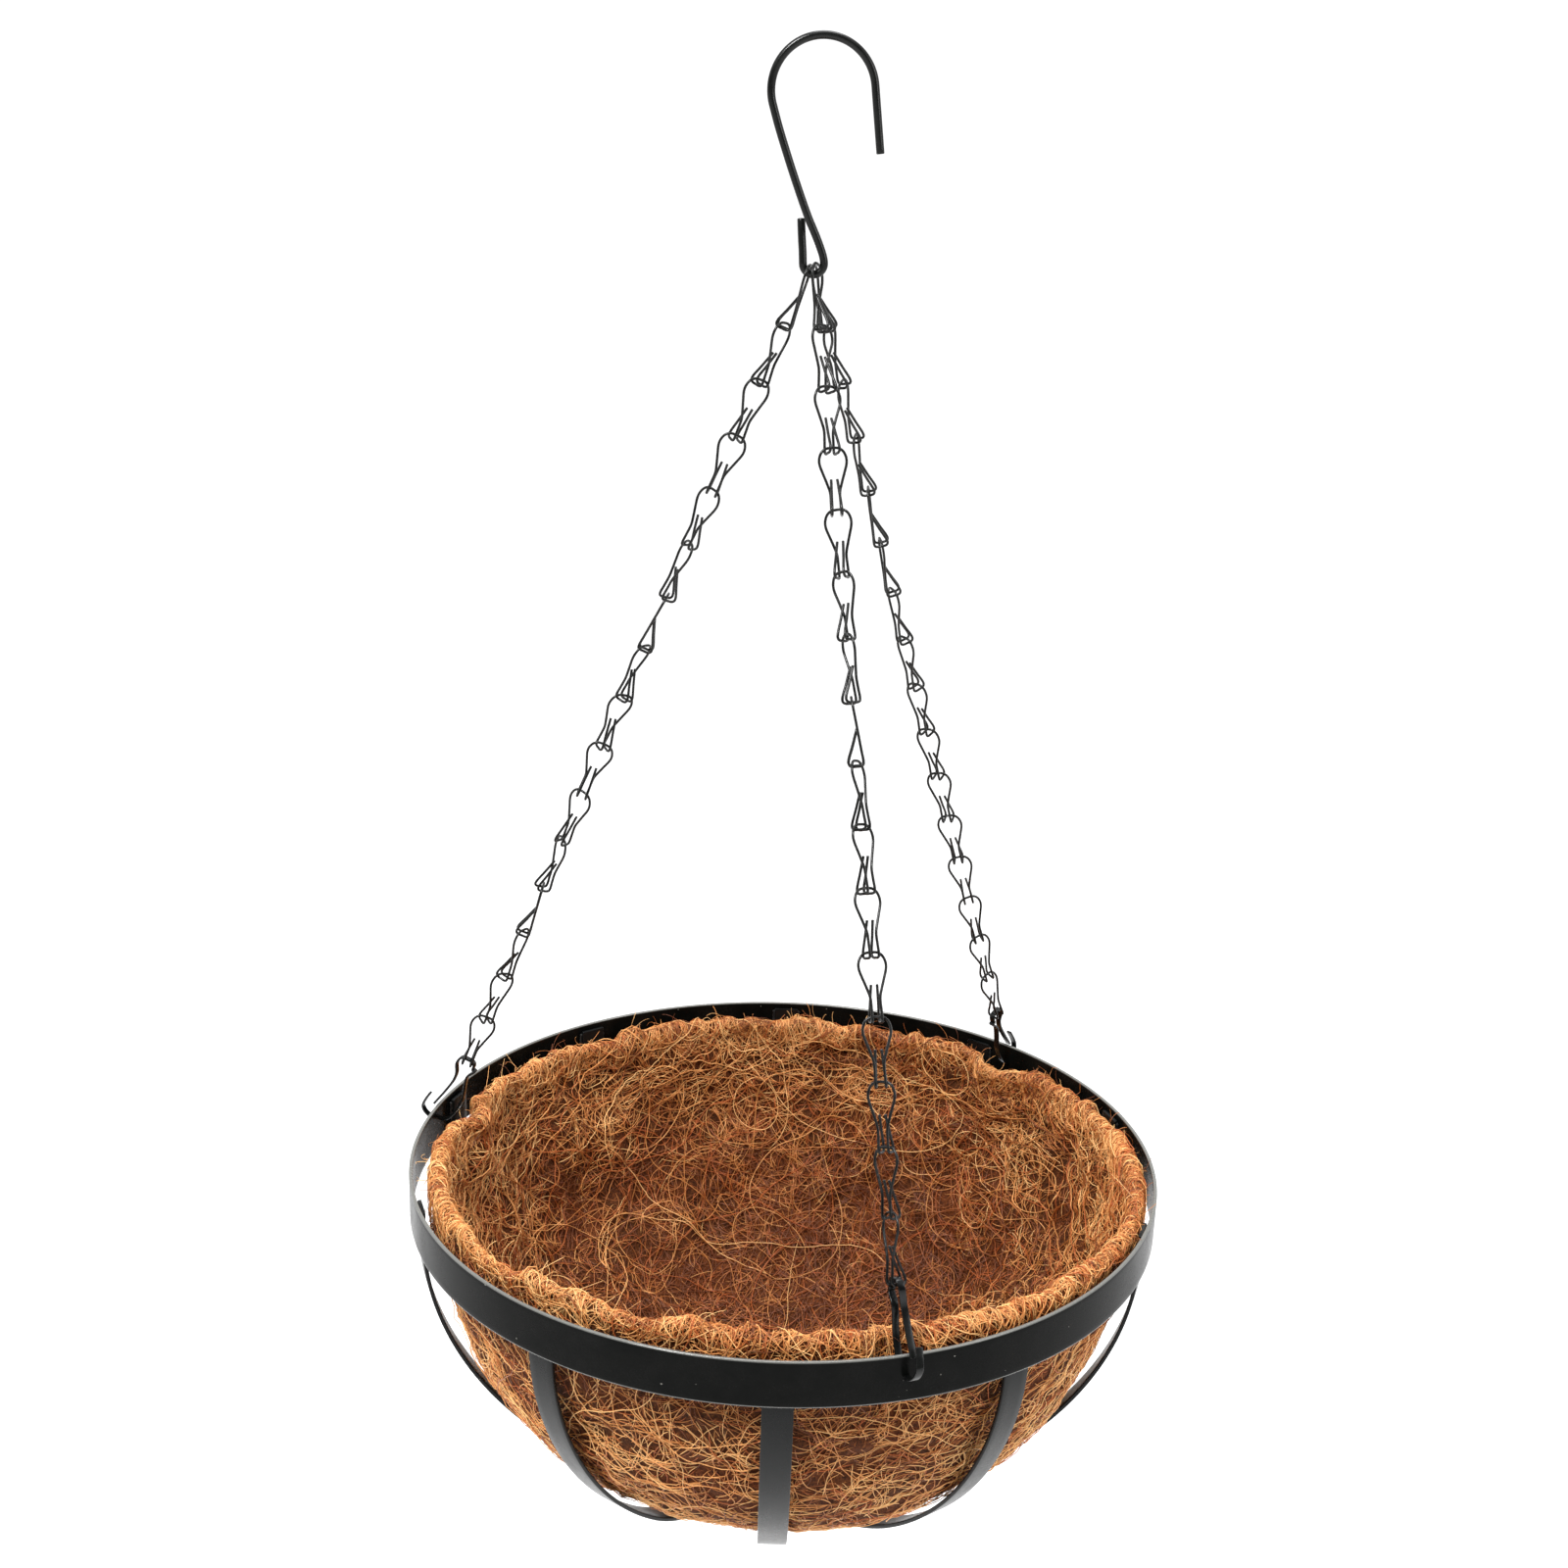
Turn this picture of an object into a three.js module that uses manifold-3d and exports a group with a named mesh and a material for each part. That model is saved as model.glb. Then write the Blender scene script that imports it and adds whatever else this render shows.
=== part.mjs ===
// Hanging basket: an S-hook, three wire-link chains, three rim clips, a flat steel rim with five crossing rib strips, and a moulded coir liner.
// Millimetres, +Z up. The origin is the inside of the S-hook's crown, where the bar that carries the basket bears.
import * as THREE from "three";
import Module from "manifold-3d";

const wasm = await Module();
wasm.setup();

// ---- driving dimensions ----
const RIM_TOP = -424; // top edge of the rim band
const RIM_R = 150; // outer radius of the rim band
const BAND_H = 18;
const BAND_T = 1.4;
const HOLE_R = 3.2; // clip holes in the band
const FRONT_AZ = 16.5; // first clip hole, degrees from the front (-Y) towards +X; the others follow at 120 degrees

const HOOK_WIRE = 3; // diameter
const LOOP_R = 18.05; // centreline radius of the upper loop
const LOOP_X = 1.4; // its centre, beside the line of pull
const BEND_R = 3.75; // centreline radius of the lower bend
const BEND_Z = -74.6; // its centre

const RIB_W = 11;
const RIB_T = 1.5;
const RIB_R = 147.1; // mid-thickness radius where the ribs stand inside the band
const BOWL_D = 150; // rim's top edge to the underside of the lowest strip
const BOWL_N = 1.8; // roundness of the ribs' curve
const LAYER = 2.1; // step from one strip to the next where they cross
const STEP_IN = 24; // the steps are full inside this distance from the middle
const STEP_OUT = 90; // and none beyond this one
const FLAT = 11; // half length of the flat at the middle of each strip
const RIBS = [
  [0, 180],
  [34.5, -142.5],
  [70, -108],
  [-70, 108],
  [-34.5, 142.5],
]; // the two ends of each strip, degrees from the front

const WIRE = 1; // diameter of the chain wire
const PITCH = 22.2;
const EYE = [
  [4.63, -6.3],
  [4.85, -4.85],
  [4.7, -3.3],
  [3.85, -1.4],
  [2.35, -0.25],
]; // a link's eye, slightly flattened at the top
const LEG_X = 1.75; // half the distance between a link's legs
const HOOK_Y = 2.75; // half the depth of a link's hooks
const BOTTOM_Z = -24.1;
const WAIST_Z = -15.5;
const TIP = [1.08, -1.1, -11.1];

const CLIP_W = 2.5; // flat wire of the rim clips
const CLIP_T = 1;
const ARCH_R = 3.6; // half width of the arch that holds the last link

const LINER_R = 141.5; // outer radius at the lip
const LINER_T = 8.5;
const LINER_TOP = 1.5; // lip above the band's top edge
const LINER_N = 2.3;

// Where each chain hangs on the lower bend, and how each of its 16 links is turned about the chain: 0 faces the front with its hooks behind, 90 has them to the left.
const CHAINS = [
  {
    name: "front",
    az: FRONT_AZ,
    top: [1.56, 1.03, BEND_Z - 0.19],
    roll: [251, 226, 203, 181, 158, 135, 112, 89, 66, 46, 27, 10, -5, -23, -42, -62],
  },
  {
    name: "right",
    az: FRONT_AZ + 120,
    top: [0.16, 0.12, BEND_Z - 1.07],
    roll: [-103, -118, -115, -105, -96, -85, -70, -55, -41, -27, -16, -5, 4, 15, 28, 42],
  },
  {
    name: "left",
    az: FRONT_AZ - 120,
    top: [-1.19, 0, BEND_Z - 0.51],
    roll: [81, 52, 23, -6, -35, -64, -93, -122, -151, -180, -209, -239, -269, -298, -328, -358],
  },
];

// ---- helpers ----
const rad = (d) => (d * Math.PI) / 180;
const V = (x, y, z) => new THREE.Vector3(x, y, z);

// A path that keeps exactly the points it is given.
class Path extends THREE.Curve {
  constructor(points) {
    super();
    this.points = points.map((p) => (p.isVector3 ? p : V(...p)));
  }
  getPoint(t, out = V(0, 0, 0)) {
    const f = t * (this.points.length - 1);
    const i = Math.min(Math.floor(f + 1e-9), this.points.length - 2);
    return out.copy(this.points[i]).lerp(this.points[i + 1], f - i);
  }
  getPointAt(u, out) {
    return this.getPoint(u, out);
  }
  getTangent(t, out = V(0, 0, 0)) {
    const i = Math.round(t * (this.points.length - 1));
    const a = this.points[Math.max(i - 1, 0)];
    const b = this.points[i];
    const c = this.points[Math.min(i + 1, this.points.length - 1)];
    const ab = b.clone().sub(a);
    const bc = c.clone().sub(b);
    if (ab.lengthSq() > 0) ab.normalize();
    if (bc.lengthSq() > 0) bc.normalize();
    return out.copy(ab).add(bc).normalize();
  }
  getTangentAt(u, out) {
    return this.getTangent(u, out);
  }
}

function sweep(shape, points) {
  const path = new Path(points);
  return new THREE.ExtrudeGeometry(shape, {
    steps: points.length - 1,
    extrudePath: path,
    curveSegments: 1,
  });
}

function round(radius, sides) {
  const s = new THREE.Shape();
  for (let i = 0; i < sides; i++) {
    const a = (2 * Math.PI * i) / sides;
    if (i) s.lineTo(radius * Math.cos(a), radius * Math.sin(a));
    else s.moveTo(radius, 0);
  }
  s.closePath();
  return s;
}

function flat(w, t) {
  const s = new THREE.Shape();
  s.moveTo(-w / 2, -t / 2);
  s.lineTo(w / 2, -t / 2);
  s.lineTo(w / 2, t / 2);
  s.lineTo(-w / 2, t / 2);
  s.closePath();
  return s;
}

function toSolid(geometry) {
  const g = geometry.index ? geometry.toNonIndexed() : geometry;
  const raw = g.getAttribute("position").array;
  const keys = new Map();
  const verts = [];
  const tris = [];
  for (let i = 0; i < raw.length; i += 3) {
    const key = [0, 1, 2].map((k) => Math.round(raw[i + k] * 1e4)).join();
    if (!keys.has(key)) {
      keys.set(key, verts.length / 3);
      verts.push(raw[i], raw[i + 1], raw[i + 2]);
    }
    tris.push(keys.get(key));
  }
  const kept = [];
  for (let i = 0; i < tris.length; i += 3)
    if (tris[i] !== tris[i + 1] && tris[i + 1] !== tris[i + 2] && tris[i] !== tris[i + 2])
      kept.push(tris[i], tris[i + 1], tris[i + 2]);
  return new wasm.Manifold(
    new wasm.Mesh({ numProp: 3, vertProperties: new Float32Array(verts), triVerts: new Uint32Array(kept) }),
  );
}

function toGeometry(solid) {
  const m = solid.getMesh();
  const pos = new Float32Array(m.numVert * 3);
  for (let i = 0; i < m.numVert; i++)
    for (let k = 0; k < 3; k++) pos[3 * i + k] = m.vertProperties[i * m.numProp + k];
  const g = new THREE.BufferGeometry();
  g.setAttribute("position", new THREE.BufferAttribute(pos, 3));
  g.setIndex(new THREE.BufferAttribute(new Uint32Array(m.triVerts), 1));
  return g;
}

const group = new THREE.Group();
function add(name, geometry, colour, roughness, metalness) {
  const mesh = new THREE.Mesh(
    geometry,
    new THREE.MeshStandardMaterial({ color: colour, roughness, metalness }),
  );
  mesh.name = name;
  group.add(mesh);
  return mesh;
}
const BLACK = 0x1b1c1b;
const GREY = 0x2a2b2c;

// ---- S-hook: one bent wire in the XZ plane; the short leg's tip lies just behind the shank ----
{
  const p = [];
  const tipDir = rad(7);
  const cx = LOOP_X;
  const cz = HOOK_WIRE / 2 - LOOP_R;
  const start = [cx + LOOP_R * Math.cos(tipDir), cz + LOOP_R * Math.sin(tipDir)];
  const straight = 22.8;
  p.push([start[0] + straight * Math.sin(tipDir), 0, start[1] - straight * Math.cos(tipDir)]);
  p.push([start[0] + 0.45 * straight * Math.sin(tipDir), 0, start[1] - 0.45 * straight * Math.cos(tipDir)]);
  for (let a = 7; a <= 199; a += 12)
    p.push([cx + LOOP_R * Math.cos(rad(a)), 0, cz + LOOP_R * Math.sin(rad(a))]);
  p.push([-13.9, 0, -28.2], [-11.2, 0, -36], [-7.9, 0, -45], [-4.4, 0, -54], [-2.2, 0, -59.3]);
  p.push([0.3, 0, -64.6], [2.2, 0, -69], [3.4, 0, -72.4]);
  for (let a = 0; a >= -180; a -= 22.5)
    p.push([BEND_R * Math.cos(rad(a)), 0, BEND_Z + BEND_R * Math.sin(rad(a))]);
  p.push([-3.95, 0.5, -71], [-4.4, 1.5, -65.8], [-4.85, 2.6, -59.4]);
  add("s_hook", sweep(round(HOOK_WIRE / 2, 8), p), BLACK, 0.38, 0.55);
}

// ---- rim band: a hoop of flat bar with three clip holes ----
{
  const s = new THREE.Shape();
  const hole = new THREE.Path();
  const N = 72;
  for (let i = 0; i < N; i++) {
    const a = (2 * Math.PI * i) / N;
    const [c, d] = [Math.cos(a), Math.sin(a)];
    if (i) s.lineTo(RIM_R * c, RIM_R * d);
    else s.moveTo(RIM_R, 0);
    if (i) hole.lineTo((RIM_R - BAND_T) * c, (RIM_R - BAND_T) * d);
    else hole.moveTo(RIM_R - BAND_T, 0);
  }
  s.closePath();
  hole.closePath();
  s.holes.push(hole);
  const ring = new THREE.ExtrudeGeometry(s, { depth: BAND_H, bevelEnabled: false, steps: 1 });
  ring.translate(0, 0, RIM_TOP - BAND_H);
  let solid = toSolid(ring);
  for (const { az } of CHAINS) {
    const drill = new THREE.CylinderGeometry(HOLE_R, HOLE_R, 12, 14); // along Y
    drill.translate(0, -RIM_R, 0);
    drill.rotateZ(rad(az));
    drill.translate(0, 0, RIM_TOP - BAND_H / 2);
    solid = solid.subtract(toSolid(drill));
  }
  add("rim_band", toGeometry(solid), BLACK, 0.4, 0.5);
}

// ---- rib strips: each stands inside the band at both ends and passes under the bowl, one above another where they cross ----
RIBS.forEach(([a, b], k) => {
  const A = V(RIB_R * Math.sin(rad(a)), -RIB_R * Math.cos(rad(a)), 0);
  const B = V(RIB_R * Math.sin(rad(b)), -RIB_R * Math.cos(rad(b)), 0);
  const mid = A.clone().add(B).multiplyScalar(0.5);
  const half = A.distanceTo(B) / 2;
  const depth = BOWL_D - RIB_T / 2 - BAND_H;
  const step = (s) => LAYER * k * THREE.MathUtils.smoothstep(STEP_OUT - s, 0, STEP_OUT - STEP_IN);
  const side = [];
  const span = half - FLAT;
  for (const deg of [0, 7, 15, 23, 32, 41, 50, 59, 68, 76, 83, 90]) {
    const c = Math.cos(rad(deg)) ** (2 / BOWL_N);
    const d = Math.sin(rad(deg)) ** (2 / BOWL_N);
    const s = FLAT + span * (deg === 90 ? 0 : c);
    side.push([s, -BAND_H - depth * d + step(s)]);
  }
  side.unshift([half, -2.5]);
  const path = side.map(([s, z]) => V(0, -s, z)).concat(side.reverse().map(([s, z]) => V(0, s, z)));
  const mesh = add(`rib_strip_${k + 1}`, sweep(flat(RIB_T, RIB_W), path), GREY, 0.42, 0.45);
  const dir = B.clone().sub(A).normalize();
  mesh.rotation.z = Math.atan2(dir.y, dir.x) - Math.PI / 2;
  mesh.position.set(mid.x, mid.y, RIM_TOP);
});

// ---- coir liner: a moulded bowl, pressed in where each clip passes ----
{
  const depth = BOWL_D - RIB_T - LAYER * (RIBS.length - 1) - 0.5 + LINER_TOP;
  const outer = [];
  const inner = [];
  for (const deg of [90, 78, 66, 54, 42, 31, 21, 12, 4]) {
    const c = deg === 90 ? 0 : Math.cos(rad(deg)) ** (2 / LINER_N);
    const d = Math.sin(rad(deg)) ** (2 / LINER_N);
    outer.push([LINER_R * c, LINER_TOP - depth * d]);
    inner.push([(LINER_R - LINER_T) * c, LINER_TOP - (depth - LINER_T - 1) * d]);
  }
  const profile = [
    ...outer,
    [LINER_R - 0.3, LINER_TOP - 2],
    [LINER_R - 2.6, LINER_TOP],
    [LINER_R - LINER_T + 2.6, LINER_TOP],
    [LINER_R - LINER_T + 0.3, LINER_TOP - 2],
    ...inner.reverse(),
  ].map(([x, y]) => new THREE.Vector2(Math.max(x, 0), y));
  const N = 48;
  const g = new THREE.LatheGeometry(profile, N);
  g.rotateX(Math.PI / 2); // the lathe's axis is Y
  g.rotateZ(rad(FRONT_AZ));
  const p = g.getAttribute("position");
  for (let i = 0; i < p.count; i++) {
    const [x, y, z] = [p.getX(i), p.getY(i), p.getZ(i)];
    const r = Math.hypot(x, y);
    if (r < 1) continue;
    const az = (Math.atan2(x, -y) * 180) / Math.PI;
    let dent = 0;
    for (const c of CHAINS) {
      const off = Math.abs(((az - c.az + 540) % 360) - 180);
      dent = Math.max(dent, off < 4 ? 1 : 0);
    }
    const k = 1 - (4.2 / LINER_R) * dent * Math.min(1, Math.max(0, (z + 40) / 20));
    p.setXYZ(i, x * k, y * k, z);
  }
  g.translate(0, 0, RIM_TOP);
  add("coir_liner", g, 0xa8703c, 0.95, 0);
}

// ---- chain links: one wire each, an eye above and two open hooks below; the next link's eye hangs in both hooks ----
function linkPoints() {
  const halfSide = [];
  const lean = (z) => (HOOK_Y * z) / -BOTTOM_Z; // the legs lean so that the pull runs through the middle of the hooks
  halfSide.push([TIP[0], TIP[1], TIP[2]]);
  halfSide.push([LEG_X - 0.05, HOOK_Y - 0.05, BOTTOM_Z + 1.45]);
  halfSide.push([LEG_X, HOOK_Y - 0.4, BOTTOM_Z + 0.42]);
  halfSide.push([LEG_X, HOOK_Y - 1.35, BOTTOM_Z]);
  halfSide.push([LEG_X, -HOOK_Y + 1.35, BOTTOM_Z]);
  halfSide.push([LEG_X, -HOOK_Y + 0.4, BOTTOM_Z + 0.42]);
  halfSide.push([LEG_X, lean(BOTTOM_Z + 1.5), BOTTOM_Z + 1.5]);
  halfSide.push([LEG_X, lean(WAIST_Z), WAIST_Z]);
  for (const [x, z] of EYE) halfSide.push([x, lean(z), z]);
  const other = halfSide.map(([x, y, z]) => [-x, y, z]).reverse();
  return [...halfSide, [0, 0, 0], ...other];
}

const link = linkPoints();
for (const chain of CHAINS) {
  const hole = V(
    (RIM_R - BAND_T / 2) * Math.sin(rad(chain.az)),
    -(RIM_R - BAND_T / 2) * Math.cos(rad(chain.az)),
    RIM_TOP - BAND_H / 2,
  );
  const top = V(...chain.top);
  const down = hole.clone().sub(top).normalize();
  const up = down.clone().negate();
  chain.roll.forEach((roll, i) => {
    const wish = V(Math.cos(rad(roll)), Math.sin(rad(roll)), 0);
    const x = wish.addScaledVector(up, -wish.dot(up)).normalize();
    const y = up.clone().cross(x);
    const at = top.clone().addScaledVector(down, PITCH * i);
    const points = link.map(([a, b, c]) => at.clone().addScaledVector(x, a).addScaledVector(y, b).addScaledVector(up, c));
    add(
      `${chain.name}_chain_link_${String(i + 1).padStart(2, "0")}`,
      sweep(round(WIRE / 2, 5), points),
      BLACK,
      0.35,
      0.6,
    );
  });

  // rim clip: flat wire bent in the upright plane through the hole; x along the band (to the left, seen from outside), y outwards, z up, from the hole's centre
  const end = top.clone().addScaledVector(down, PITCH * 16).sub(hole);
  const out = V(Math.sin(rad(chain.az)), -Math.cos(rad(chain.az)), 0);
  const back = V(-Math.cos(rad(chain.az)), -Math.sin(rad(chain.az)), 0);
  const [r0, z0] = [end.dot(out), end.z];
  const e = V(0, down.dot(out), down.z).normalize();
  const X = V(0, -e.z, e.y);
  const arch = (x, drop, u) => {
    const c = V(0, r0, z0).addScaledVector(X, x).addScaledVector(e, drop - 0.15);
    return [u, c.y, c.z];
  };
  const path = [
    [-2.4, 2.3, 8.6], // free end, just outside the band
    [-2.1, -3.3, 15.7],
    [-1.9, -6.4, 20.2],
    [-1.5, -7.7, 23.6],
    arch(ARCH_R, 3.6, -0.8),
    arch(ARCH_R - 0.25, 1.5, -0.5),
    arch(2.5, 0.3, -0.2),
    arch(0, 0, 0),
    arch(-2.5, 0.3, 0.2),
    arch(0.25 - ARCH_R, 1.5, 0.3),
    arch(-ARCH_R, 3.6, 0.4),
    [0.4, -15.2, 24.6],
    [0.3, -11.9, 21.9],
    [0.2, -11.0, 19.6],
    [0, -9.2, 10.2],
    [-0.2, -4.6, 2.9],
    [-0.4, -2.4, 1.15],
    [-0.6, 0, 0.75],
    [-0.9, 2.4, 1.0],
    [-1.6, 4.9, 2.2],
    [-2.4, 6.7, 4.6],
    [-2.9, 7.2, 7.1],
    [-3.2, 6.1, 9.8],
    [-3.5, 3.6, 13.6], // hook's tip
  ];
  const clip = add(`${chain.name}_rim_clip`, sweep(flat(CLIP_W, CLIP_T), path), BLACK, 0.35, 0.6);
  clip.matrixAutoUpdate = false;
  clip.matrix.makeBasis(back, out, V(0, 0, 1)).setPosition(hole);
}

export default group;
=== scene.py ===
import bpy
import math
import numpy as np
from mathutils import Matrix, Vector


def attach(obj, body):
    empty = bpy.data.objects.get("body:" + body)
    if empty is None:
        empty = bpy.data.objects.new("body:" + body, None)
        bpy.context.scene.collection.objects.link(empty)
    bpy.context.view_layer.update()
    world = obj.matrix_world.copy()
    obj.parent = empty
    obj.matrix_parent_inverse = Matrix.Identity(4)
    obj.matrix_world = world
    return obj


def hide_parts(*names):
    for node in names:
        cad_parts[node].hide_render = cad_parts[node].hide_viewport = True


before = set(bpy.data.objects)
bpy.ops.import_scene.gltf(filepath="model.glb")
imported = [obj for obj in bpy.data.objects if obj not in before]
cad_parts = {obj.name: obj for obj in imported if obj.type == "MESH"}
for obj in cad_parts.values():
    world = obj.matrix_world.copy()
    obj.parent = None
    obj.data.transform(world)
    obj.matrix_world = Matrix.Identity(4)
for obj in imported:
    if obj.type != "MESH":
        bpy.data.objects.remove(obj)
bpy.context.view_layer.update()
MM = 0.001
scene = bpy.context.scene

# ---- driving dimensions, millimetres, the same as the frame's ----
RIM_TOP, RIM_R, BAND_H, BAND_T, HOLE_R = -424.0, 150.0, 18.0, 1.4, 3.2
FRONT_AZ = 16.5
HOOK_WIRE, LOOP_R, LOOP_X, BEND_R, BEND_Z = 3.0, 18.05, 1.4, 3.75, -74.6
RIB_W, RIB_T, RIB_R, BOWL_D, BOWL_N, LAYER, FLAT = 11.0, 1.5, 147.1, 150.0, 1.8, 2.1, 11.0
RIBS = [(0, 180), (34.5, -142.5), (70, -108), (-70, 108), (-34.5, 142.5)]
WIRE_R, PITCH = 0.5, 22.2
LEG_X, HOOK_Y, BOTTOM_Z, WAIST_Z, TIP = 1.75, 2.75, -24.1, -15.5, (1.08, -1.1, -11.1)
EYE = [(4.63, -6.3), (4.85, -4.85), (4.7, -3.3), (3.85, -1.4), (2.35, -0.25)]
CLIP_W, CLIP_T, ARCH_R = 2.6, 1.0, 3.6
LINER_R, LINER_TOP, LINER_N = 141.5, 1.5, 2.3
STEP_IN, STEP_OUT = 24.0, 90.0
CHAINS = {
    "front": (FRONT_AZ, (1.56, 1.03, BEND_Z - 0.19), [251, 226, 203, 181, 158, 135, 112, 89, 66, 46, 27, 10, -5, -23, -42, -62]),
    "right": (FRONT_AZ + 120, (0.16, 0.12, BEND_Z - 1.07), [-103, -118, -115, -105, -96, -85, -70, -55, -41, -27, -16, -5, 4, 15, 28, 42]),
    "left": (FRONT_AZ - 120, (-1.19, 0.0, BEND_Z - 0.51), [81, 52, 23, -6, -35, -64, -93, -122, -151, -180, -209, -239, -269, -298, -328, -358]),
}

rad = math.radians


# ---- mesh helpers ----
def unit(v):
    v = np.asarray(v, float)
    return v / np.maximum(np.linalg.norm(v, axis=-1, keepdims=True), 1e-12)


def make(name, verts, quads=None, tris=None, ngons=None, mats=(), qmat=None, tmat=None, smooth=True):
    """A mesh object from arrays, in millimetres."""
    verts = np.asarray(verts, np.float64).reshape(-1, 3) * MM
    me = bpy.data.meshes.new(name)
    q = np.zeros((0, 4), int) if quads is None else np.asarray(quads, int).reshape(-1, 4)
    t = np.zeros((0, 3), int) if tris is None else np.asarray(tris, int).reshape(-1, 3)
    n = ngons or []
    loops = np.concatenate([q.ravel(), t.ravel()] + [np.asarray(x, int) for x in n])
    sizes = np.concatenate([np.full(len(q), 4), np.full(len(t), 3), np.array([len(x) for x in n], int)]).astype(int)
    starts = np.concatenate([[0], np.cumsum(sizes)[:-1]]).astype(int)
    me.vertices.add(len(verts))
    me.vertices.foreach_set("co", verts.ravel())
    me.loops.add(len(loops))
    me.loops.foreach_set("vertex_index", loops.astype(np.int32))
    me.polygons.add(len(sizes))
    me.polygons.foreach_set("loop_start", starts.astype(np.int32))
    if qmat is not None or tmat is not None:
        idx = np.concatenate([
            np.zeros(len(q), int) if qmat is None else np.asarray(qmat, int),
            np.zeros(len(t), int) if tmat is None else np.asarray(tmat, int),
            np.zeros(len(n), int),
        ])
        me.polygons.foreach_set("material_index", idx.astype(np.int32))
    me.update(calc_edges=True)
    me.validate()
    if smooth:
        me.polygons.foreach_set("use_smooth", np.ones(len(me.polygons), bool))
    for m in mats:
        me.materials.append(m)
    ob = bpy.data.objects.new(name, me)
    scene.collection.objects.link(ob)
    return ob


def spline(points, per):
    """Centripetal Catmull-Rom through the points."""
    p = np.asarray(points, float)
    a = np.vstack([2 * p[0] - p[1], p, 2 * p[-1] - p[-2]])
    out = []
    for i in range(1, len(a) - 2):
        p0, p1, p2, p3 = a[i - 1 : i + 3]
        t0 = 0.0
        t1 = t0 + np.linalg.norm(p1 - p0) ** 0.5
        t2 = t1 + np.linalg.norm(p2 - p1) ** 0.5
        t3 = t2 + np.linalg.norm(p3 - p2) ** 0.5
        for k in range(per):
            t = t1 + (t2 - t1) * k / per
            A1 = (t1 - t) / (t1 - t0) * p0 + (t - t0) / (t1 - t0) * p1
            A2 = (t2 - t) / (t2 - t1) * p1 + (t - t1) / (t2 - t1) * p2
            A3 = (t3 - t) / (t3 - t2) * p2 + (t - t2) / (t3 - t2) * p3
            B1 = (t2 - t) / (t2 - t0) * A1 + (t - t0) / (t2 - t0) * A2
            B2 = (t3 - t) / (t3 - t1) * A2 + (t - t1) / (t3 - t1) * A3
            out.append((t2 - t) / (t2 - t1) * B1 + (t - t1) / (t2 - t1) * B2)
    out.append(p[-1])
    return np.array(out)


def sweep(path, section, across=None, ends=0.12):
    """Sweep a closed section (u, v) along a path. across fixes which way u points. The ends get a small rounded edge of that size."""
    P = np.asarray(path, float)
    T = unit(np.gradient(P, axis=0))
    if across is None:
        k = np.argmin(np.abs(T[0]))
        n = unit(np.cross(T[0], np.eye(3)[k]))
        N = [n]
        for i in range(1, len(P)):
            v = N[-1] - T[i] * np.dot(N[-1], T[i])
            N.append(unit(v))
        N = np.array(N)
    else:
        N = np.broadcast_to(np.asarray(across, float), P.shape)
        N = unit(N - T * np.sum(N * T, axis=1, keepdims=True))
    B = np.cross(T, N)
    sec = np.asarray(section, float)
    half = np.abs(sec).max()
    rings, scale = list(P), [1.0] * len(P)
    Ns, Bs = list(N), list(B)
    e = ends
    if e:
        rings = [P[0] - T[0] * 0.0] + [P[0] + T[0] * e * 0.35] + [P[0] + T[0] * e] + rings[1:-1] + [P[-1] - T[-1] * e, P[-1] - T[-1] * e * 0.35, P[-1]]
        k0, k1 = 1 - e / half, 1 - 0.3 * e / half
        scale = [k0, k1, 1.0] + [1.0] * (len(P) - 2) + [1.0, k1, k0]
        Ns = [N[0], N[0]] + Ns + [N[-1], N[-1]]
        Bs = [B[0], B[0]] + Bs + [B[-1], B[-1]]
    R = np.array(rings)
    V = R[:, None, :] + np.array(scale)[:, None, None] * (np.array(Ns)[:, None, :] * sec[None, :, 0:1] + np.array(Bs)[:, None, :] * sec[None, :, 1:2])
    m, s = len(R), len(sec)
    i, j = np.meshgrid(np.arange(m - 1), np.arange(s), indexing="ij")
    a = i * s + j
    b = i * s + (j + 1) % s
    quads = np.stack([a, b, b + s, a + s], -1).reshape(-1, 4)
    ngons = [list(range(s))[::-1], [(m - 1) * s + k for k in range(s)]]
    return V.reshape(-1, 3), quads, ngons


def circle(r, n):
    a = np.arange(n) * 2 * np.pi / n
    return np.stack([r * np.cos(a), r * np.sin(a)], 1)


def rounded_bar(w, t, r, n=3, along=2):
    """A flat bar's section with rounded corners, and extra points along its wide faces."""
    pts = []
    for cx, cy, a0 in ((w / 2 - r, t / 2 - r, 0), (-(w / 2 - r), t / 2 - r, 90), (-(w / 2 - r), -(t / 2 - r), 180), (w / 2 - r, -(t / 2 - r), 270)):
        for k in range(n + 1):
            a = rad(a0 + 90 * k / n)
            pts.append((cx + r * math.cos(a), cy + r * math.sin(a)))
        if a0 in (0, 180):
            sgn = 1 if a0 == 0 else -1
            for k in range(1, along + 1):
                f = 1 - 2 * k / (along + 1)
                pts.append((sgn * f * (w / 2 - r), sgn * t / 2))
    return np.array(pts)


def sharpen(ob, angle=35):
    ob.data.set_sharp_from_angle(angle=rad(angle))


# ---- material helpers ----
def srgb(r, g, b):
    f = lambda c: (c / 255 / 12.92) if c / 255 <= 0.04045 else ((c / 255 + 0.055) / 1.055) ** 2.4
    return (f(r), f(g), f(b), 1.0)


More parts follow.
